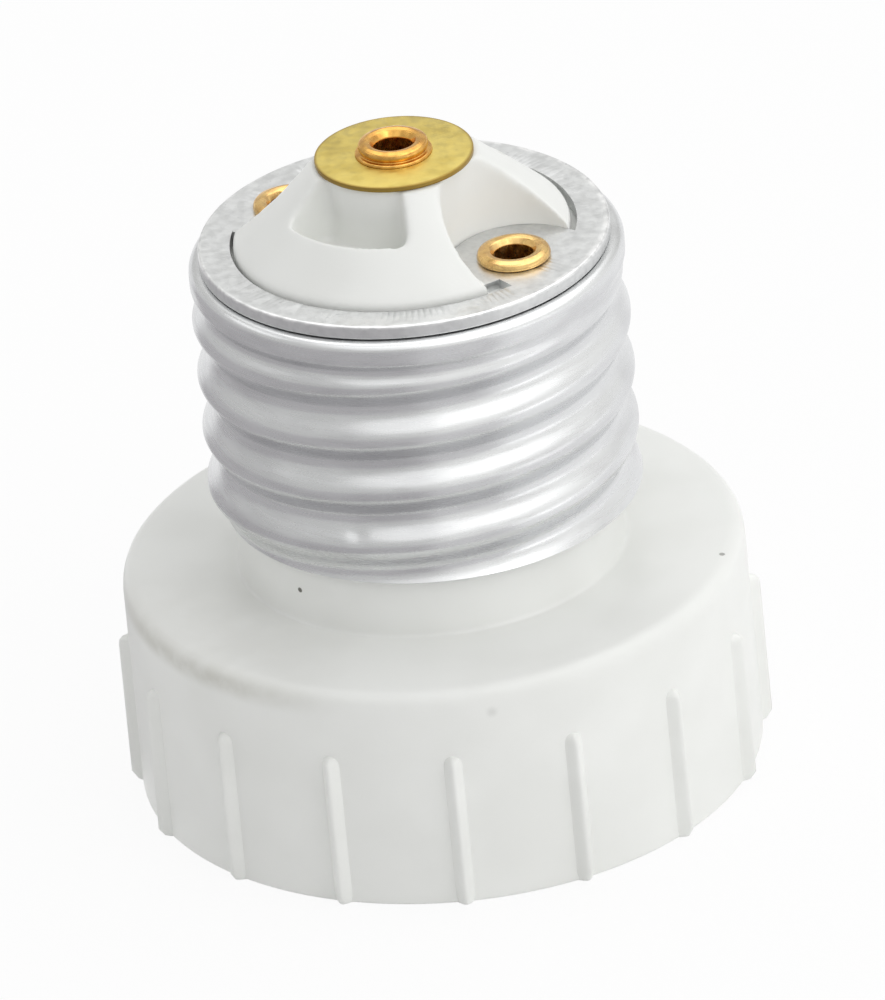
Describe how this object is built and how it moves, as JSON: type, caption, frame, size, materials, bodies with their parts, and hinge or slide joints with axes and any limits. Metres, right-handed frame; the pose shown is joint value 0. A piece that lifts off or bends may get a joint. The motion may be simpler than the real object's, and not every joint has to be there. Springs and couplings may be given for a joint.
{
  "type": "lamp socket adapter",
  "caption": "Screw-base lamp socket adapter: threaded shell and centre contact above, ribbed white cap with a twist-lock pin socket below.",
  "frame": {"origin": "bottom centre, in the plane of the cap's rim", "axes": "+Z along the screw axis, towards the centre contact; -Y towards the side seen in the picture"},
  "size_m": [0.0396, 0.0396, 0.0421],
  "materials": {
    "white_pbt": "semi-gloss moulded, warm white",
    "shell_aluminium": "bright rolled aluminium",
    "plate_aluminium": "satin stamped aluminium",
    "disc_brass": "satin brass",
    "rivet_brass": "bright brass",
    "spring_brass": "plain rolled brass",
    "screw_steel": "plated steel",
    "cover_pbt": "matt moulded white"
  },
  "bodies": {
    "root": {"housing": "white_pbt", "screw_shell": "shell_aluminium", "shell_clamp_plate": "plate_aluminium", "center_contact_disc": "disc_brass", "center_rivet": "rivet_brass", "side_rivet_a": "rivet_brass", "side_rivet_b": "rivet_brass", "rivet_washer": "screw_steel", "neutral_contact": "spring_brass", "line_contact": "spring_brass", "face_cover": "cover_pbt", "cover_screw_a": "screw_steel", "cover_screw_b": "screw_steel"}
  },
  "joints": []
}
